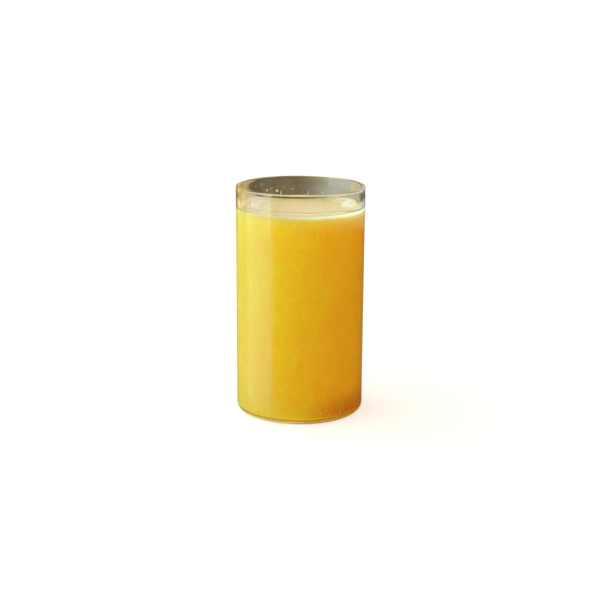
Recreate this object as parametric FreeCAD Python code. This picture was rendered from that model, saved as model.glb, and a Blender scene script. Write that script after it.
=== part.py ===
import FreeCAD, Part
import math
import os

# A straight-sided tumbler of cloudy sweet lime juice with a thin head of froth.
# Millimetres, +Z up. The origin is the centre of the circle that the foot stands on.
# Every piece is turned about Z, so each is described by its half section (radius, height).

# the tumbler
glass_height = 125.0        # foot to the top of the rim
glass_diameter = 70.0       # outside, the same from heel to rim
wall_thickness = 2.0        # the rim is rounded over this width
base_thickness = 2.6        # from the table to the inside floor, little more than the wall
heel_radius = 3.5           # rounding where the wall turns under
floor_radius = 2.0          # inside, where the wall meets the floor
foot_ring_width = 4.0       # flat ring that touches the table
hollow_depth = 0.5          # shallow dome under the base, inside the foot ring

# the drink
level_below_rim = 14.0      # flat top of the froth, away from the wall
froth_thickness = 2.4       # head of pale froth on the juice
climb_height = 2.6          # how far the wet edge climbs the wall
climb_reach = 4.5           # how far from the wall that climb begins

# worked out from the sizes above
outer_radius = glass_diameter / 2
inner_radius = outer_radius - wall_thickness
rim_radius = wall_thickness / 2
foot_outer_radius = outer_radius - heel_radius
foot_inner_radius = foot_outer_radius - foot_ring_width
froth_top = glass_height - level_below_rim
froth_bottom = froth_top - froth_thickness


def point(radius, height):
    return FreeCAD.Vector(radius, 0, height)


def line(start, end):
    return Part.LineSegment(start, end).toShape()


def arc(centre_radius, centre_height, size, from_degrees, to_degrees):
    """A round stretch of a half section, drawn from one angle to another."""
    def on_circle(degrees):
        angle = math.radians(degrees)
        return point(centre_radius + size * math.cos(angle), centre_height + size * math.sin(angle))

    middle_degrees = (from_degrees + to_degrees) / 2
    return Part.Arc(on_circle(from_degrees), on_circle(middle_degrees), on_circle(to_degrees)).toShape()


def turned(edges):
    """Spin a closed half section about Z into one solid."""
    face = Part.Face(Part.Wire(edges))
    return face.revolve(FreeCAD.Vector(0, 0, 0), FreeCAD.Vector(0, 0, 1), 360)


def hollow_under_base():
    """The shallow dome under the glass, from the axis out to the foot ring."""
    size = (foot_inner_radius ** 2 + hollow_depth ** 2) / (2 * hollow_depth)
    edge_degrees = math.degrees(math.acos(foot_inner_radius / size))
    return arc(0, hollow_depth - size, size, 90, edge_degrees)


def floor_corner():
    """Where the inside wall curves into the floor, from the wall down to the floor."""
    return arc(inner_radius - floor_radius, base_thickness + floor_radius, floor_radius, 0, -90)


def glass():
    rim_height = glass_height - rim_radius
    return turned([
        hollow_under_base(),
        line(point(foot_inner_radius, 0), point(foot_outer_radius, 0)),
        arc(foot_outer_radius, heel_radius, heel_radius, -90, 0),
        line(point(outer_radius, heel_radius), point(outer_radius, rim_height)),
        arc(outer_radius - rim_radius, rim_height, rim_radius, 0, 180),
        line(point(inner_radius, rim_height), point(inner_radius, base_thickness + floor_radius)),
        floor_corner(),
        line(point(inner_radius - floor_radius, base_thickness), point(0, base_thickness)),
        line(point(0, base_thickness), point(0, hollow_depth)),
    ])


def juice():
    """The drink itself, filling the glass from the floor up to the froth."""
    return turned([
        line(point(inner_radius, froth_bottom), point(inner_radius, base_thickness + floor_radius)),
        floor_corner(),
        line(point(inner_radius - floor_radius, base_thickness), point(0, base_thickness)),
        line(point(0, base_thickness), point(0, froth_bottom)),
        line(point(0, froth_bottom), point(inner_radius, froth_bottom)),
    ])


def froth():
    """The head: flat in the middle, curving up to a wet edge on the wall."""
    climb_start = inner_radius - climb_reach
    size = (climb_reach ** 2 + climb_height ** 2) / (2 * climb_height)
    turn = math.degrees(math.asin(climb_reach / size))
    return turned([
        line(point(0, froth_bottom), point(inner_radius, froth_bottom)),
        line(point(inner_radius, froth_bottom), point(inner_radius, froth_top + climb_height)),
        arc(climb_start, froth_top + size, size, turn - 90, -90),
        line(point(climb_start, froth_top), point(0, froth_top)),
        line(point(0, froth_top), point(0, froth_bottom)),
    ])


def save(pieces):
    os.makedirs("parts", exist_ok=True)
    for name, shape in pieces.items():
        shape.exportStep(f"parts/{name}.step")
        print(f"{name}: {len(shape.Solids)} solid, {shape.Volume / 1000:.2f} ml, valid {shape.isValid()}")


save({"glass": glass(), "juice": juice(), "froth": froth()})
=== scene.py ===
import math
import random

import bmesh
import bpy
from mathutils import Matrix, Vector, noise


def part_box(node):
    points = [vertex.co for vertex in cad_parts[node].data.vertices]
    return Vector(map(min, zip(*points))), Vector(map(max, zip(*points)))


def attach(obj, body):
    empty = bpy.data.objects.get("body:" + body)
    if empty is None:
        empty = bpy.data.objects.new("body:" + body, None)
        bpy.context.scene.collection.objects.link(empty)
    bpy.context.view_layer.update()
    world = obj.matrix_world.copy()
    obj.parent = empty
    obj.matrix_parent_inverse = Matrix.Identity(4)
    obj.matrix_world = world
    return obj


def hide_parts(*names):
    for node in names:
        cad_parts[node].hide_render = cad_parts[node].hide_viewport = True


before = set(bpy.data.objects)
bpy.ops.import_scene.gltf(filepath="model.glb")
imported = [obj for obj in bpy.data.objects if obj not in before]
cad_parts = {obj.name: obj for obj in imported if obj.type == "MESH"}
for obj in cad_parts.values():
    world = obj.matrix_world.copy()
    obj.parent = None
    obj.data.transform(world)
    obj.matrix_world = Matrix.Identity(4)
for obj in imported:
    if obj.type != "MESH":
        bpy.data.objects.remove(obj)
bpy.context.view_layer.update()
mm = 0.001
print("frame loaded:", sorted(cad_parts))

# sizes that every piece shares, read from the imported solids
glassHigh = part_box("glass")[1]
juiceLow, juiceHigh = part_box("juice")
outerRadius = glassHigh.x
innerRadius = juiceHigh.x
glassTop = glassHigh.z
floorInside = juiceLow.z
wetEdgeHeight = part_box("froth")[1].z  # where the drink meets the wall
wallThickness = outerRadius - innerRadius


class Wire:
    # one socket of a node tree, so that shader maths reads as plain Python

    def __init__(self, tree, socket=None):
        self.tree = tree
        self.socket = socket

    def node(self, kind, settings=None, sockets=None, out=0):
        made = self.tree.nodes.new(kind)
        for name, value in (settings or {}).items():
            setattr(made, name, value)
        for name, value in (sockets or {}).items():
            if isinstance(value, Wire):
                self.tree.links.new(value.socket, made.inputs[name])
            else:
                made.inputs[name].default_value = value
        return Wire(self.tree, made.outputs[out] if made.outputs else None)

    def maths(self, operation, first, second):
        return self.node("ShaderNodeMath", {"operation": operation}, {0: first, 1: second})

    def __add__(self, other):
        return self.maths("ADD", self, other)

    def __sub__(self, other):
        return self.maths("SUBTRACT", self, other)

    def __rsub__(self, other):
        return self.maths("SUBTRACT", other, self)

    def __mul__(self, other):
        return self.maths("MULTIPLY", self, other)

    def __truediv__(self, other):
        return self.maths("DIVIDE", self, other)

    def __pow__(self, other):
        return self.maths("POWER", self, other)

    __radd__ = __add__
    __rmul__ = __mul__

    def sine(self):
        return self.node("ShaderNodeMath", {"operation": "SINE"}, {0: self})

    def between(self, low, high):
        # 0 below low, 1 above high, smooth in between
        settings = {"interpolation_type": "SMOOTHSTEP"}
        return self.node("ShaderNodeMapRange", settings, {"Value": self, "From Min": low, "From Max": high})

    def blend(self, first, second):
        # a colour: first where this is 0, second where it is 1
        return self.node("ShaderNodeMix", {"data_type": "RGBA"}, {0: self, 6: first, 7: second}, out=2)

    def axis(self, letter):
        return self.node("ShaderNodeSeparateXYZ", {}, {0: self}, out="XYZ".index(letter))

    def stretched(self, x, y, z):
        return self.node("ShaderNodeVectorMath", {"operation": "MULTIPLY"}, {0: self, 1: (x, y, z)})

    def specks(self, scale, detail=3.0, roughness=0.55, distortion=0.0):
        sockets = {"Vector": self, "Scale": scale, "Detail": detail, "Roughness": roughness,
                   "Distortion": distortion}
        return self.node("ShaderNodeTexNoise", {}, sockets)


def newMaterial(name):
    # returns the material and a wire that starts in object space, in metres
    material = bpy.data.materials.new(name)
    material.use_nodes = True
    material.node_tree.nodes.clear()
    start = Wire(material.node_tree).node("ShaderNodeTexCoord", out="Object")
    return material, start


def finishMaterial(start, surface):
    start.node("ShaderNodeOutputMaterial", {}, {"Surface": surface})


def bump(start, height, depth, strength):
    return start.node("ShaderNodeBump", {}, {"Height": height, "Distance": depth, "Strength": strength})


def principled(start, sockets):
    return start.node("ShaderNodeBsdfPrincipled", {}, sockets)


def smooth(value, low, high):
    # the same easing as Wire.between, for numbers
    share = min(1, max(0, (value - low) / (high - low)))
    return share * share * (3 - 2 * share)


def bend(radius, height, size, fromDegrees, toDegrees, steps):
    # points along a round stretch of a half section
    points = []
    for step in range(steps + 1):
        angle = math.radians(fromDegrees + (toDegrees - fromDegrees) * step / steps)
        points.append((radius + size * math.cos(angle), height + size * math.sin(angle)))
    return points


def run(start, end, steps):
    # evenly spaced points from start up to, but not at, end
    return [tuple(a + (b - a) * step / steps for a, b in zip(start, end)) for step in range(steps)]


def spun(name, section, around, shape=None, closed=False):
    # turns a half section about Z; shape may nudge each point; a closed section makes a ring
    vertices, rings, faces = [], [], []
    for radius, height in section:
        count = 1 if radius < 1e-7 else around
        ring = []
        for step in range(count):
            angle = 2 * math.pi * step / around
            place = Vector((radius * math.cos(angle), radius * math.sin(angle), height))
            ring.append(len(vertices))
            vertices.append(shape(place) if shape else place)
        rings.append(ring)
    pairs = list(zip(rings, rings[1:])) + ([(rings[-1], rings[0])] if closed else [])
    for lower, upper in pairs:
        for step in range(around):
            after = (step + 1) % around
            if len(lower) == 1:
                faces.append((lower[0], upper[after], upper[step]))
            elif len(upper) == 1:
                faces.append((lower[step], lower[after], upper[0]))
            else:
                faces.append((lower[step], lower[after], upper[after], upper[step]))
    return newPiece(name, vertices, faces)


def newPiece(name, vertices, faces):
    mesh = bpy.data.meshes.new(name)
    mesh.from_pydata([tuple(v) for v in vertices], [], faces)
    mesh.update()
    work = bmesh.new()
    work.from_mesh(mesh)
    bmesh.ops.recalc_face_normals(work, faces=work.faces)
    work.to_mesh(mesh)
    work.free()
    mesh.shade_smooth()
    piece = bpy.data.objects.new(name, mesh)
    bpy.context.scene.collection.objects.link(piece)
    return piece


def beadShape(detail):
    work = bmesh.new()
    bmesh.ops.create_icosphere(work, subdivisions=detail, radius=1.0)
    points = [vertex.co.copy() for vertex in work.verts]
    faces = [tuple(vertex.index for vertex in face.verts) for face in work.faces]
    work.free()
    return points, faces


def joinedBeads(name, beads, detail):
    # many small round things as one mesh; each bead is a matrix
    points, faces = beadShape(detail)
    allPoints, allFaces = [], []
    for bead in beads:
        first = len(allPoints)
        allPoints.extend(bead @ point for point in points)
        allFaces.extend(tuple(first + index for index in face) for face in faces)
    return newPiece(name, allPoints, allFaces)


def onWall(degrees, height, radius, along, across, depth, lean=0.0):
    # a flattened bead on the wall: along is its size up the wall, lean turns it in the wall's plane
    turn = Matrix.Rotation(math.radians(degrees), 4, "Z")
    place = Matrix.Translation(turn @ Vector((radius, 0, height)))
    leaning = Matrix.Rotation(math.radians(lean), 4, "X")
    return place @ turn @ leaning @ Matrix.Diagonal((depth, across, along, 1))


def scaled(shares, size):
    return [share * size for share in shares]


def onTop(degrees, radius, height, size, squash=1.0):
    angle = math.radians(degrees)
    place = Vector((radius * math.cos(angle), radius * math.sin(angle), height))
    return Matrix.Translation(place) @ Matrix.Diagonal((size, size, size * squash, 1))


def dress(piece, material, slot, *nodes):
    piece.data.materials.append(material)
    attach(piece, "root")
    if nodes:
        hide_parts(*nodes)
    return piece


tumbler = {
    "heelRadius": 3.5 * mm,
    "floorRadius": 2.0 * mm,
    "footRingWidth": 4.0 * mm,
    "hollowDepth": 0.5 * mm,
    "rimHeight": 0.6 * mm,  # the fire-polished lip is a little flatter than a half circle
    "neckDepth": 0.12 * mm,  # and the wall is drawn in just under it
    "neckLow": 7.0 * mm,
    "neckMiddle": 1.65 * mm,
    "around": 288,
    "wallRows": 24,
    "waviness": 0.03 * mm,  # how far the wall strays from a true circle
    "waveScale": (38, 38, 16),
    "waveFoot": 4 * mm,  # it is true up to here
    "waveRise": 20 * mm,  # and strays fully this much higher
    "colour": (0.985, 0.99, 0.98, 1),
    # noise: scale and detail
    "smudges": (90, 4),
    "ripples": (60, 2),
    "smudgeRoughness": 0.012,  # the most, where the glass is smudged
    "rippleDepth": 0.05 * mm,
}


def neck(height):
    # how far each face of the wall is drawn in at this height
    below = glassTop - height
    return tumbler["neckDepth"] * (smooth(below, tumbler["rimHeight"], tumbler["neckMiddle"])
                                   - smooth(below, tumbler["neckMiddle"], tumbler["neckLow"]))


def tumblerSection():
    rim, rows = wallThickness / 2, tumbler["wallRows"]
    heel, corner = tumbler["heelRadius"], tumbler["floorRadius"]
    footOuter = outerRadius - heel
    footInner = footOuter - tumbler["footRingWidth"]
    domeSize = (footInner ** 2 + tumbler["hollowDepth"] ** 2) / (2 * tumbler["hollowDepth"])
    domeEdge = math.degrees(math.acos(footInner / domeSize))
    lip = glassTop - tumbler["rimHeight"]
    neckFoot = glassTop - tumbler["neckLow"]
    neckHeights = [height for _, height in run((0, neckFoot), (0, lip), rows)]
    section = [(0, tumbler["hollowDepth"])]
    section += bend(0, tumbler["hollowDepth"] - domeSize, domeSize, 90, domeEdge, steps=12)[1:]
    section += run((footInner, 0), (footOuter, 0), steps=4)[1:]
    section += bend(footOuter, heel, heel, -90, 0, steps=12)
    section += run((outerRadius, heel), (outerRadius, neckFoot), rows)[1:]
    section += [(outerRadius - neck(height), height) for height in neckHeights]
    for radius, height in bend(outerRadius - rim, 0, rim, 0, 180, steps=16):
        section.append((radius, lip + height * tumbler["rimHeight"] / rim))
    section += [(innerRadius + neck(height), height) for height in reversed(neckHeights)]
    section += run((innerRadius, neckFoot), (innerRadius, floorInside + corner), rows)[1:]
    section += bend(innerRadius - corner, floorInside + corner, corner, 0, -90, steps=10)
    section += run((innerRadius - corner, floorInside), (0, floorInside), steps=6)[1:]
    return section + [(0, floorInside)]


def wavyWall(place):
    # blown and pressed glass is never quite true: long, faint waves, stronger away from the foot
    radius = math.hypot(place.x, place.y)
    if radius < 1e-6:
        return place
    wave = noise.noise(place * Vector(tumbler["waveScale"]))
    share = min(1, max(0, (place.z - tumbler["waveFoot"]) / tumbler["waveRise"]))
    grown = (radius + tumbler["waviness"] * wave * share) / radius
    return Vector((place.x * grown, place.y * grown, place.z))


def clearGlass():
    material, start = newMaterial("clearGlass")
    smudge = start.specks(*tumbler["smudges"]).between(0.45, 0.75)
    ripple = start.stretched(1, 1, 0.35).specks(*tumbler["ripples"])
    finishMaterial(start, principled(start, {
        "Base Color": tumbler["colour"], "Roughness": smudge * tumbler["smudgeRoughness"], "IOR": 1.5,
        "Transmission Weight": 1.0, "Normal": bump(start, ripple, tumbler["rippleDepth"], strength=0.2)}))
    return material


glassPiece = spun("tumblerWall", tumblerSection(), tumbler["around"], wavyWall)
dress(glassPiece, clearGlass(), "glass", "glass")
print("tumbler turned:", len(glassPiece.data.polygons), "faces")

drink = {
    "intoWall": 0.15 * mm,  # reaches just into the glass, so that no air shows between them
    "cornerRadius": 2.0 * mm,
    "climbHeight": 2.6 * mm,
    "climbReach": 4.5 * mm,
    "around": 192,
    "relief": 0.10 * mm,  # of the tiny swells on the top
    "swellScale": 260,
    "fineSwellScale": 700,  # half as high as the others
    # noise: scale, detail, roughness and distortion
    "clouds": (230, 5, 0.6, 0.4),
    "grains": (950, 3, 0.5),
    "streaks": (520, 3, 0.55, 0.8),
    "gaps": (620, 4, 0.6),
    "milkySpecks": (300, 3),
    "swirls": (55, 3, 0.5, 1.6),
    "ringSpecks": (45, 2),
    "ringGaps": (70, 2),
    "fizz": (2600, 2, 0.6),
    # painted shade: the body is darker and more orange towards the bottom
    "shadedLowColour": (0.975, 0.67, 0.03, 1),
    "highColour": (0.975, 0.77, 0.05, 1),
    "pulpColour": (0.99, 0.88, 0.09, 1),
    "pulpStrength": 0.3,
    "shadeColour": (0.93, 0.65, 0.025, 1),  # in the gaps between the pulp
    "shadeStrength": 0.5,
    "softness": (1.0, 0.16, 0.04),  # how far red, green and blue travel inside, against each other
    "reach": 40 * mm,
    "footShadowColour": (0.55, 0.29, 0.01, 1),  # painted shadow: darker at the foot on the right
    "footShadowHeight": (2 * mm, 20 * mm),  # full below the first, gone above the second
    "footShadowAcross": (-2 * mm, 26 * mm),
    "milkyLitColour": (0.78, 0.70, 0.34, 1),  # at the wet edge, fading into the body below it: partly a paler milky layer, partly painted light from above
    "milkySoftness": (0.8, 1.0, 0.8),
    "milkyReach": 12 * mm,
    "milkyDepth": 12.0 * mm,  # it starts this far under the wet edge
    "milkyPast": 3.5 * mm,  # and would be full this far above it
    "milkyWander": 1.2 * mm,
    "paintedLightTilt": 0.08,  # painted light: it reaches lower on the right
    "edgeShadeColour": (0.68, 0.56, 0.22, 1),  # painted shade: darker right at the wet edge, everywhere but on the right
    "edgeDepth": (4.5 * mm, 1 * mm),
    "edgeAcross": (8 * mm, 28 * mm),
    "frothColour": (0.67, 0.585, 0.29, 1),
    "frothPink": (0.70, 0.53, 0.41, 1),  # in swirls around the middle
    "pinkOut": (6 * mm, 24 * mm),
    "pinkShift": -0.3,  # they reach further on the right
    "frothShade": (0.56, 0.46, 0.20, 1),  # in faint rings
    "rings": 1400,  # this many radians of them per metre outward
    "ringWander": 16,
    "ringStrength": 0.4,
    "frothSoftness": (1.0, 0.6, 0.25),
    "frothReach": 4 * mm,
    "fizzDepth": 0.03 * mm,
    "frothDepth": (0.8 * mm, 0.5 * mm),  # its look begins and is full this far under the flat top
    "frothRim": (-0.05 * mm, 0.12 * mm),  # and it ends here, past the inside wall
}
flatLevel = wetEdgeHeight - drink["climbHeight"]
climbFoot = innerRadius - drink["climbReach"]
climbSize = (drink["climbReach"] ** 2 + drink["climbHeight"] ** 2) / (2 * drink["climbHeight"])


def topHeight(radius):
    # the flat top, and the hollow curve up to the wall
    out = max(0, radius - climbFoot)
    return flatLevel + climbSize - math.sqrt(climbSize ** 2 - out ** 2)


def drinkSection():
    into, corner = drink["intoWall"], drink["cornerRadius"]
    radius, low = innerRadius + into, floorInside - into
    turn = math.degrees(math.asin(drink["climbReach"] / climbSize))
    section = run((0, low), (radius - corner, low), steps=8)
    section += bend(radius - corner, low + corner, corner, -90, 0, steps=10)
    section += run((radius, low + corner), (radius, wetEdgeHeight), steps=60)[1:]
    section += [(radius, wetEdgeHeight)]
    section += bend(climbFoot, flatLevel + climbSize, climbSize, turn - 90, -90, steps=20)
    section += run((climbFoot, flatLevel), (0, flatLevel), steps=60)[1:]
    return section + [(0, flatLevel)]


def softTop(place):
    # tiny uneven swells on the top, none at the side
    radius = math.hypot(place.x, place.y)
    if place.z < flatLevel - 0.01 * mm or radius > innerRadius - 0.1 * mm:
        return place
    swell = noise.noise(place * drink["swellScale"]) + 0.5 * noise.noise(place * drink["fineSwellScale"])
    return place + Vector((0, 0, drink["relief"] * swell))


def softSurface(start, colour, softness, reach):
    # light wanders inside before it comes out
    return principled(start, {
        "Base Color": colour, "Roughness": 0.5, "Specular IOR Level": 0.0, "Subsurface Weight": 1.0,
        "Subsurface Radius": softness, "Subsurface Scale": reach})


def juiceColour(start, x, z):
    clouds = start.stretched(1, 1, 0.7).specks(*drink["clouds"]).between(0.42, 0.72)
    grains = start.specks(*drink["grains"]).between(0.48, 0.66)
    streaks = start.stretched(1, 1, 0.3).specks(*drink["streaks"]).between(0.50, 0.70)
    gaps = start.specks(*drink["gaps"]).between(0.48, 0.66)
    # painted shade: darker and more orange towards the bottom
    depth = z.between(0.0, flatLevel).blend(drink["shadedLowColour"], drink["highColour"])
    pulpy = ((clouds + grains + streaks) * drink["pulpStrength"]).blend(depth, drink["pulpColour"])
    body = (gaps * drink["shadeStrength"]).blend(pulpy, drink["shadeColour"])
    # painted shadow: darker at the foot on the right
    heel = (1 - z.between(*drink["footShadowHeight"])) * x.between(*drink["footShadowAcross"])
    return heel.blend(body, drink["footShadowColour"])


def juiceSide(start, x, z):
    # the body of the drink, turning paler towards the wet edge: partly milky, partly painted light from
    # above
    body = juiceColour(start, x, z)
    # painted light from above: paler near the wet edge, reaching lower on the right
    uneven = z + start.specks(*drink["milkySpecks"]) * drink["milkyWander"] + x * drink["paintedLightTilt"]
    milkyLitBand = uneven.between(wetEdgeHeight - drink["milkyDepth"], wetEdgeHeight + drink["milkyPast"])
    low, high = (wetEdgeHeight - depth for depth in drink["edgeDepth"])
    # painted shade: a darker band just under the wet edge, everywhere but on the right
    edge = z.between(low, high) * (1 - x.between(*drink["edgeAcross"]))
    milkyLitTone = edge.blend(drink["milkyLitColour"], drink["edgeShadeColour"])
    juice = softSurface(start, body, drink["softness"], drink["reach"])
    milkyLitSurface = softSurface(start, milkyLitBand.blend(body, milkyLitTone), drink["milkySoftness"], drink["milkyReach"])
    return start.node("ShaderNodeMixShader", {}, {0: milkyLitBand, 1: juice, 2: milkyLitSurface})


def frothTop(start, x, outward):
    fizz = start.specks(*drink["fizz"])
    swirl = start.stretched(1, 1.6, 1).specks(*drink["swirls"]).between(0.38, 0.62)
    middle = 1 - (outward + x * drink["pinkShift"]).between(*drink["pinkOut"])
    tone = (swirl * middle).blend(drink["frothColour"], drink["frothPink"])
    ringed = outward * drink["rings"] + start.specks(*drink["ringSpecks"]) * drink["ringWander"]
    broken = start.specks(*drink["ringGaps"]).between(0.4, 0.65) * drink["ringStrength"]
    rings = ringed.sine().between(0.1, 1.0) * broken
    dimples = bump(start, fizz, drink["fizzDepth"], strength=0.25)
    return principled(start, {
        "Base Color": rings.blend(tone, drink["frothShade"]), "Roughness": fizz * 0.2 + 0.2, "IOR": 1.34,
        "Subsurface Weight": 1.0, "Subsurface Radius": drink["frothSoftness"],
        "Subsurface Scale": drink["frothReach"], "Normal": dimples})


def cloudyDrink():
    material, start = newMaterial("cloudyDrink")
    x, y, z = (start.axis(letter) for letter in "XYZ")
    outward = (x ** 2 + y ** 2) ** 0.5
    begins, full = (flatLevel - depth for depth in drink["frothDepth"])
    fades, gone = (innerRadius + past for past in drink["frothRim"])
    onTop = z.between(begins, full) * (1 - outward.between(fades, gone))
    finishMaterial(start, start.node("ShaderNodeMixShader", {}, {
        0: onTop, 1: juiceSide(start, x, z), 2: frothTop(start, x, outward)}))
    return material


drinkPiece = spun("drinkBody", drinkSection(), drink["around"], softTop)
dress(drinkPiece, cloudyDrink(), "juice", "juice", "froth")
print("drink poured to", round(wetEdgeHeight / mm, 1), "mm")

tideLine = {
    "above": 0.5 * mm,  # over the wet edge
    "frontRise": 1.4 * mm,  # and this much more at the front, where it was sipped
    "front": (0.3, 1.0),  # where the front begins and is full, as shares of the way forward
    "wander": 0.25 * mm,
    "wanderScale": 2.3,
    "thickness": 0.16 * mm,
    "half": 0.30 * mm,
    "sink": 0.08 * mm,
    "bulge": (0.55, 0.35, 0.5),  # shares of the thickness: everywhere, more at the front, and uneven
    "bulgeScale": 4.1,
    "around": 288,
    "tint": (0.97, 0.94, 0.80, 1),
}


def tideSection():
    # a low rounded ridge of liquid that clings to the inside wall
    steps, half = 10, tideLine["half"]
    section = []
    for step in range(-steps, steps + 1):
        height = wetEdgeHeight + tideLine["above"] + half * step / steps
        bulge = tideLine["thickness"] * math.cos(math.pi / 2 * step / steps) ** 2
        section.append((innerRadius - bulge, height))
    outer = innerRadius + tideLine["sink"]
    return [(outer, section[0][1])] + section + [(outer, section[-1][1])]


def unevenTide(place):
    angle = math.atan2(place.y, place.x)
    way = Vector((math.cos(angle), math.sin(angle), 0))
    front = smooth(-way.y, *tideLine["front"])
    lift = tideLine["frontRise"] * front + tideLine["wander"] * noise.noise(way * tideLine["wanderScale"])
    everywhere, more, uneven = tideLine["bulge"]
    strength = everywhere + more * front + uneven * noise.noise(way * tideLine["bulgeScale"])
    radius = math.hypot(place.x, place.y)
    if radius < innerRadius:
        radius = innerRadius - (innerRadius - radius) * strength
    return Vector((radius * way.x, radius * way.y, place.z + lift))


def clearJuice():
    material, start = newMaterial("clearJuice")
    finishMaterial(start, principled(start, {
        "Base Color": tideLine["tint"], "Roughness": 0.0, "IOR": 1.34, "Transmission Weight": 1.0}))
    return material


thinJuice = clearJuice()
tidePiece = spun("tideLine", tideSection(), tideLine["around"], unevenTide, closed=True)
dress(tidePiece, thinJuice, "juice")

drops = {
    # angle from +X in degrees, height over the flat top and radius, in mm
    "onBackWall": [(125.1, 6.7, 0.62), (113.9, 5.9, 0.80), (120.5, 7.6, 0.34), (106.6, 7.2, 0.36),
                   (97.6, 6.7, 0.34), (67.9, 4.9, 0.55), (139.2, 9.4, 0.30), (131.1, 10.4, 0.32)],
    # angle, top and foot over the flat top, and half width, in mm
    "runs": [(109.7, 6.4, 3.3, 0.30), (82.7, 5.6, 1.6, 0.26), (61.0, 4.4, 2.8, 0.2),
             (-141.0, 6.6, 4.2, 0.22), (12.0, 6.1, 4.0, 0.22)],
    "runLean": 3,  # degrees off upright
    # shares of that radius or half width: up the wall, across it and out of it
    "dropShape": (1, 1.15, 0.7),
    "runEndShape": (1.6, 1.3, 1.1),
    "runDepth": 0.8,
    "mistShape": (1, 1, 0.6),
    "mist": 70,
    "mistSize": (0.10, 0.26),  # radius, in mm
    "mistHeight": (1.2, 10.0, 2.0),  # lowest, highest and commonest over the wet edge, in mm
    "colour": (0.98, 0.95, 0.84, 1),
    "seed": 11,
}


def makeDrops():
    beads = []
    for degrees, height, radius in drops["onBackWall"]:
        shape = scaled(drops["dropShape"], radius * mm)
        beads.append(onWall(degrees, flatLevel + height * mm, innerRadius, *shape))
    for degrees, top, foot, width in drops["runs"]:
        middle, length, half = flatLevel + (top + foot) / 2 * mm, (top - foot) / 2 * mm, width * mm
        depth, lean = half * drops["runDepth"], drops["runLean"]
        beads.append(onWall(degrees, middle, innerRadius, length, half, depth, lean))
        shape = scaled(drops["runEndShape"], half)
        beads.append(onWall(degrees, flatLevel + foot * mm, innerRadius, *shape))
    random.seed(drops["seed"])
    for _ in range(drops["mist"]):
        shape = scaled(drops["mistShape"], random.uniform(*drops["mistSize"]) * mm)
        height = wetEdgeHeight + random.triangular(*drops["mistHeight"]) * mm
        beads.append(onWall(random.uniform(0, 360), height, innerRadius, *shape))
    return joinedBeads("wallDrops", beads, detail=3)


def cloudyDrops():
    material, start = newMaterial("cloudyDrops")
    finishMaterial(start, principled(start, {
        "Base Color": drops["colour"], "Roughness": 0.05, "IOR": 1.34, "Transmission Weight": 0.55}))
    return material


dress(makeDrops(), cloudyDrops(), "juice")

foam = {
    # patches along the wet edge: from and to, in degrees from +X, how wide, and how many bubbles
    "patches": [(14, 52, 5.0 * mm, 720), (122, 166, 5.0 * mm, 720), (-70, -20, 1.0 * mm, 50),
                (205, 250, 1.0 * mm, 30)],
    "patchIn": (0.1 * mm, 8 * mm),  # how near to the wall and how far from it a patch goes
    "ring": 320,  # the fine line of bubbles all round
    "edge": 600,  # and the finest, right at the wall
    "edgeDegrees": (-50, 230),  # everywhere but at the front
    # smallest, largest and commonest, in mm: radius, and how far in from the wall
    "patchSize": (0.08, 0.42, 0.14),
    "ringSize": (0.08, 0.30, 0.12),
    "ringIn": (0.5, 4.0, 2.6),
    "edgeSize": (0.07, 0.20, 0.10),
    "edgeIn": (0.05, 0.7, 0.1),
    # how far a bubble's middle stands over the top, as a share of its radius: patch, ring and edge
    "proud": (0.15, 0.2, 0.3),
    "squash": 0.8,  # height against width, for all but the finest
    "tones": (900, 2),  # noise: scale and detail
    "colour": (0.94, 0.90, 0.76, 1),
    "paleColour": (0.97, 0.96, 0.90, 1),
    "dimpleDepth": 0.02 * mm,
    "seed": 5,
}


def makeFoam():
    random.seed(foam["seed"])
    nearest, furthest = foam["patchIn"]
    patchProud, ringProud, edgeProud = foam["proud"]
    squash = foam["squash"]
    beads = []
    for fromDegrees, toDegrees, wide, count in foam["patches"]:
        for _ in range(count):
            degrees = random.gauss((fromDegrees + toDegrees) / 2, (toDegrees - fromDegrees) / 4)
            size = random.triangular(*foam["patchSize"]) * mm
            radius = innerRadius - size - nearest - min(furthest, abs(random.gauss(0, wide / 2)))
            beads.append(onTop(degrees, radius, topHeight(radius) + size * patchProud, size, squash))
    for _ in range(foam["ring"]):
        radius = innerRadius - random.triangular(*foam["ringIn"]) * mm
        size = random.triangular(*foam["ringSize"]) * mm
        degrees = random.uniform(0, 360)
        beads.append(onTop(degrees, radius, topHeight(radius) + size * ringProud, size, squash))
    for _ in range(foam["edge"]):
        size = random.triangular(*foam["edgeSize"]) * mm
        radius = innerRadius - size - random.triangular(*foam["edgeIn"]) * mm
        degrees = random.uniform(*foam["edgeDegrees"])
        beads.append(onTop(degrees, radius, topHeight(radius) + size * edgeProud, size))
    return joinedBeads("foamBubbles", beads, detail=2)


def paleFoam():
    material, start = newMaterial("paleFoam")
    tone = start.specks(*foam["tones"]).between(0.3, 0.7)
    finishMaterial(start, principled(start, {
        "Base Color": tone.blend(foam["colour"], foam["paleColour"]), "Roughness": 0.12, "IOR": 1.34,
        "Normal": bump(start, tone, foam["dimpleDepth"], strength=0.3)}))
    return material


foamPiece = dress(makeFoam(), paleFoam(), "froth")
# foam lets light through: it doesn't darken the drink under it
foamPiece.visible_shadow = False
foamPiece.visible_diffuse = False

bubbles = {
    # angle in degrees, distance from the axis and radius, in mm
    "places": [(64.0, 30.4, 0.95), (60.0, 26.0, 1.05), (36.5, 30.6, 1.25), (43.0, 29.0, 0.8),
               (130.0, 29.8, 0.9), (-106.9, 32.0, 0.7), (-103.1, 31.8, 0.6), (-52.0, 29.5, 0.8),
               (171.0, 30.2, 0.8), (-160.0, 29.6, 0.9), (88.0, 30.8, 0.6), (110.0, 30.9, 0.55)],
    "film": 0.05 * mm,
    "footDegrees": -20,  # the dome ends this far under its own middle, inside the drink
    "around": 32,
}


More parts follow.
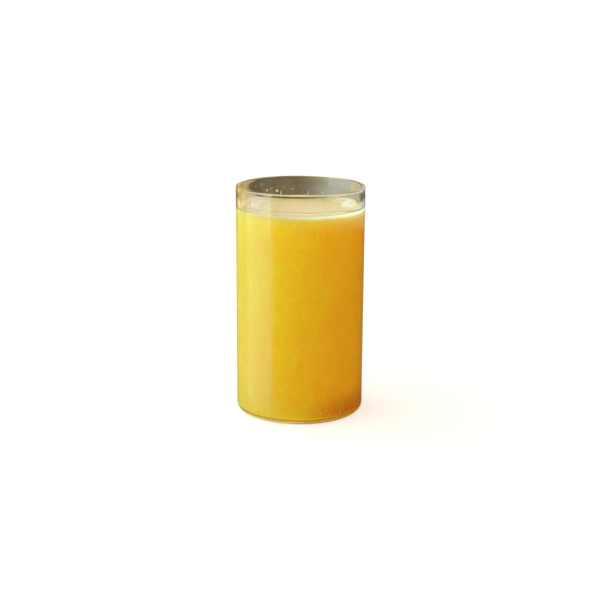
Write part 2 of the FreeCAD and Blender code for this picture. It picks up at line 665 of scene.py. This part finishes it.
def bubbleShell(degrees, distance, size):
    # a thin dome of liquid, outside and inside, standing on the top
    inside = size - bubbles["film"]
    outer = bend(0, 0, size, 90, bubbles["footDegrees"], steps=12)
    inner = bend(0, 0, inside, bubbles["footDegrees"], 90, steps=12)
    outer[0], inner[-1] = (0, size), (0, inside)
    angle = math.radians(degrees)
    foot = Vector((distance * math.cos(angle), distance * math.sin(angle), topHeight(distance)))
    return spun("bubble", outer + inner, bubbles["around"], lambda place: place + foot)


def makeBubbles():
    shells = [bubbleShell(degrees, out * mm, size * mm) for degrees, out, size in bubbles["places"]]
    work = bmesh.new()
    for shell in shells:
        work.from_mesh(shell.data)
        bpy.data.objects.remove(shell)
    mesh = bpy.data.meshes.new("surfaceBubbles")
    work.to_mesh(mesh)
    work.free()
    mesh.shade_smooth()
    piece = bpy.data.objects.new("surfaceBubbles", mesh)
    bpy.context.scene.collection.objects.link(piece)
    return piece


dress(makeBubbles(), thinJuice, "froth")
print("froth bubbles and drops made")

pulp = {
    "count": 1300,
    "seed": 23,
    "length": (0.35 * mm, 1.3 * mm),  # half lengths
    "width": (0.10 * mm, 0.20 * mm),  # half widths
    "thickness": 0.07 * mm,  # half, again
    "lowest": 2 * mm,  # over the inside floor
    "highest": 4 * mm,  # under the flat top
    "settling": 1.4,  # above 1, more of them lie low down
    "leans": (-40, 35),  # degrees off upright
    "leanSpread": 22,
    "tones": (500, 2),  # noise: scale and detail
    "colour": (0.98, 0.72, 0.05, 1),
    "paleColour": (0.98, 0.78, 0.12, 1),
}


def makePulp():
    # short threads of pulp that lie against the glass
    random.seed(pulp["seed"])
    low, high = floorInside + pulp["lowest"], flatLevel - pulp["highest"]
    beads = []
    for _ in range(pulp["count"]):
        height = low + (high - low) * random.random() ** pulp["settling"]
        lean = random.gauss(random.choice(pulp["leans"]), pulp["leanSpread"])
        degrees = random.uniform(0, 360)
        length = random.uniform(*pulp["length"])
        width = random.uniform(*pulp["width"])
        beads.append(onWall(degrees, height, innerRadius + drink["intoWall"], length, width,
                            pulp["thickness"], lean))
    return joinedBeads("pulpThreads", beads, detail=2)


def palePulp():
    material, start = newMaterial("palePulp")
    tone = start.specks(*pulp["tones"]).between(0.35, 0.65)
    finishMaterial(start, principled(start, {
        "Base Color": tone.blend(pulp["colour"], pulp["paleColour"]), "Roughness": 0.7,
        "Specular IOR Level": 0.0}))
    return material


dress(makePulp(), palePulp(), "juice")
print("pulp added")

stageLook = {
    "floorRadius": 0.9,
    "floorFade": (0.12, 0.6),  # where it begins and ends, as squares of the distance from the glass
    "floorColour": (0.45, 0.45, 0.45, 1),
    "floorGlow": 0.62,
    "lampPlace": (-0.3, 0.1, 1.1),
    "lampSize": 1.0,
    "lampPower": 4,
}


def paleFloor():
    material, start = newMaterial("paleFloor")
    squared = start.axis("X") ** 2 + start.axis("Y") ** 2
    finishMaterial(start, principled(start, {
        "Base Color": stageLook["floorColour"], "Roughness": 0.9, "Specular IOR Level": 0.1,
        "Alpha": 1 - squared.between(*stageLook["floorFade"]),
        "Emission Color": (1, 1, 1, 1), "Emission Strength": stageLook["floorGlow"]}))
    return material


def makeFloor():
    radius = stageLook["floorRadius"]
    floor = spun("floor", [(0, 0), (radius / 3, 0), (radius, 0)], around=64)
    floor.data.materials.append(paleFloor())
    floor.visible_glossy = False
    floor.visible_transmission = False


def makeLamp():
    data = bpy.data.lights.new("topSoftbox", "AREA")
    data.shape = "RECTANGLE"
    data.size = data.size_y = stageLook["lampSize"]
    data.energy = stageLook["lampPower"]
    lamp = bpy.data.objects.new("topSoftbox", data)
    lamp.location = stageLook["lampPlace"]
    lamp.rotation_euler = (-lamp.location).to_track_quat("-Z", "Y").to_euler()  # aimed at the foot
    lamp.visible_camera = False
    bpy.context.scene.collection.objects.link(lamp)


roomShape = {
    "ceiling": (0.45, 0.85),  # begins and is full, as the height of a direction
    "table": (0.45, 0.75),  # the same, downward
    "tableAcross": (-0.16, 0.12),  # from the table's own tone to the dark one
    "mottle": (45, 3),  # noise: scale and detail
}

# Two rooms of soft panels around a dim warm wall: what the glass mirrors and bends, and what lights
# the drink. A panel's middle is at towards, in degrees clockwise from straight behind. It is full for
# half degrees to each side and fades over soft degrees more. low and high are where it starts and ends,
# as the height of a direction. Later panels cover earlier ones.
seenRoom = {
    "walls": (0.15, 0.11, 0.065, 1),
    "wallShade": (0.105, 0.080, 0.040, 1),
    "ceiling": (0.62, 0.60, 0.55, 1),
    "table": (1.35, 1.25, 0.5, 1),
    "tableDark": (0.10, 0.06, 0.0, 1),
    "panels": [
        # the dim room in front of the glass
        {"towards": 180, "half": 40, "soft": 40, "low": (-0.9, -0.6), "colour": (0.30, 0.22, 0.10, 1)},
        {"towards": 112, "half": 20, "soft": 30, "low": (-0.9, -0.6), "colour": (0.25, 0.20, 0.10, 1)},
        # paler things behind and to the right
        {"towards": 10, "half": 7.3, "soft": 3.0, "low": (-0.6, -0.5), "colour": (0.40, 0.40, 0.32, 1)},
        {"towards": 75, "half": 45, "soft": 10, "low": (-0.195, -0.185), "colour": (0.50, 0.50, 0.44, 1)},
        {"towards": 0, "half": 50, "soft": 20, "low": (0.02, 0.15), "colour": (1.25, 1.10, 0.85, 1)},
        # cool light from the left, mirrored down the left side of the glass
        {"towards": -95, "half": 45, "soft": 30, "low": (-0.5, -0.4), "high": (-0.37, -0.30),
         "colour": (0.55, 0.55, 0.60, 1)},
        {"towards": -55, "half": 22, "soft": 15, "low": (-0.38, -0.30), "colour": (0.35, 0.45, 0.60, 1)},
        {"towards": -100, "half": 17, "soft": 20, "low": (-0.38, -0.30), "colour": (0.80, 1.30, 1.90, 1)},
        # smaller things at the left, mirrored near the top of the glass
        {"towards": -38, "half": 14, "soft": 8, "low": (-0.6, -0.5), "high": (-0.20, -0.18),
         "colour": (0.48, 0.43, 0.40, 1)},
        {"towards": -48, "half": 17, "soft": 5, "low": (-0.21, -0.20), "high": (-0.182, -0.177),
         "colour": (0.75, 0.62, 0.55, 1)},
        {"towards": -48, "half": 17, "soft": 5, "low": (-0.182, -0.177), "colour": (0.95, 1.0, 0.55, 1)},
        {"towards": -96, "half": 27, "soft": 2, "low": (-0.21, -0.175), "colour": (1.7, 1.9, 1.9, 1)},
        {"towards": -122.5, "half": 1.5, "soft": 1, "low": (-0.20, -0.19), "colour": (3.2, 3.2, 2.8, 1)},
        {"towards": -41, "half": 25, "soft": 3, "low": (-0.173, -0.167), "colour": (1.4, 1.08, 0.2, 1)},
        {"towards": -60.5, "half": 6, "soft": 2, "low": (-0.173, -0.167), "colour": (3.4, 1.9, 0.2, 1)},
        # a dark thing and a tan one, seen through the wall at the left end of the rim
        {"towards": -3.9, "half": 0.8, "soft": 0.5, "low": (-0.40, -0.36), "high": (0.3, 0.4),
         "colour": (0.085, 0.050, 0.025, 1)},
        {"towards": -16, "half": 10.9, "soft": 1.2, "low": (-0.40, -0.36), "high": (0.3, 0.4),
         "colour": (0.50, 0.33, 0.12, 1)},
        # a pale thing at the right, mirrored just under the rim
        {"towards": 36, "half": 11, "soft": 8, "low": (-0.181, -0.177), "high": (-0.160, -0.157),
         "colour": (0.62, 0.60, 0.52, 1)},
    ],
}
fillRoom = {
    "walls": (0.30, 0.20, 0.06, 1),
    "ceiling": (0.62, 0.60, 0.55, 1),
    "table": (0.70, 0.45, 0.10, 1),
    "panels": [
        {"towards": 180, "half": 40, "soft": 40, "low": (-0.9, -0.6), "colour": (1.25, 0.92, 0.14, 1)},
        {"towards": 90, "half": 40, "soft": 30, "low": (-0.9, -0.6), "colour": (1.40, 0.70, 0.10, 1)},
        {"towards": -85, "half": 30, "soft": 45, "low": (-0.5, -0.15), "colour": (2.5, 3.3, 3.5, 1)},
    ],
}


def panelMask(panel, x, y, z, level):
    angle = math.radians(panel["towards"])
    facing = (x * math.sin(angle) + y * math.cos(angle)) / level
    full, gone = math.radians(panel["half"]), math.radians(panel["half"] + panel["soft"])
    mask = facing.between(math.cos(gone), math.cos(full)) * z.between(*panel["low"])
    if "high" in panel:
        mask = mask * (1 - z.between(*panel["high"]))
    return mask


def roomColour(way, look):
    x, y, z = (way.axis(letter) for letter in "XYZ")
    level = (x ** 2 + y ** 2) ** 0.5
    colour, table = look["walls"], look["table"]
    if "wallShade" in look:  # what is behind the glass is never one flat tone
        colour = way.specks(*roomShape["mottle"]).between(0.35, 0.65).blend(colour, look["wallShade"])
    for panel in look["panels"]:
        colour = panelMask(panel, x, y, z, level).blend(colour, panel["colour"])
    if "tableDark" in look:  # it darkens to the right
        table = x.between(*roomShape["tableAcross"]).blend(table, look["tableDark"])
    colour = z.between(*roomShape["ceiling"]).blend(colour, look["ceiling"])
    return (0 - z).between(*roomShape["table"]).blend(colour, table)


def makeRoom():
    world = bpy.data.worlds.new("room")
    bpy.context.scene.world = world
    world.use_nodes = True
    world.node_tree.nodes.clear()
    start = Wire(world.node_tree)
    way = start.node("ShaderNodeTexCoord", out="Generated")
    lighting = start.node("ShaderNodeLightPath", out="Diffuse Depth").between(0.4, 0.6)
    colour = lighting.blend(roomColour(way, seenRoom), roomColour(way, fillRoom))
    seen = start.node("ShaderNodeLightPath", out="Is Camera Ray")
    background = start.node("ShaderNodeBackground", {}, {"Color": seen.blend(colour, (1, 1, 1, 1))})
    start.node("ShaderNodeOutputWorld", {}, {"Surface": background})


makeFloor()
makeLamp()
makeRoom()

camera = {
    "distance": 0.6628,  # from the glass's axis, level
    "height": 0.230,
    "lookDown": 14.305,  # degrees
    "lens": 74.30,
    "roll": 0.335,  # degrees, so that the glass leans a touch to the right
}


def makeCamera():
    data = bpy.data.cameras.new("camera")
    data.lens = camera["lens"]
    made = bpy.data.objects.new("camera", data)
    aim = Matrix.Rotation(math.radians(90 - camera["lookDown"]), 4, "X")
    roll = Matrix.Rotation(math.radians(camera["roll"]), 4, "Z")
    made.matrix_world = Matrix.Translation((0, -camera["distance"], camera["height"])) @ aim @ roll
    bpy.context.scene.collection.objects.link(made)
    bpy.context.scene.camera = made


makeCamera()
bpy.context.scene.view_settings.view_transform = "Standard"
print("stage, lights and camera set")
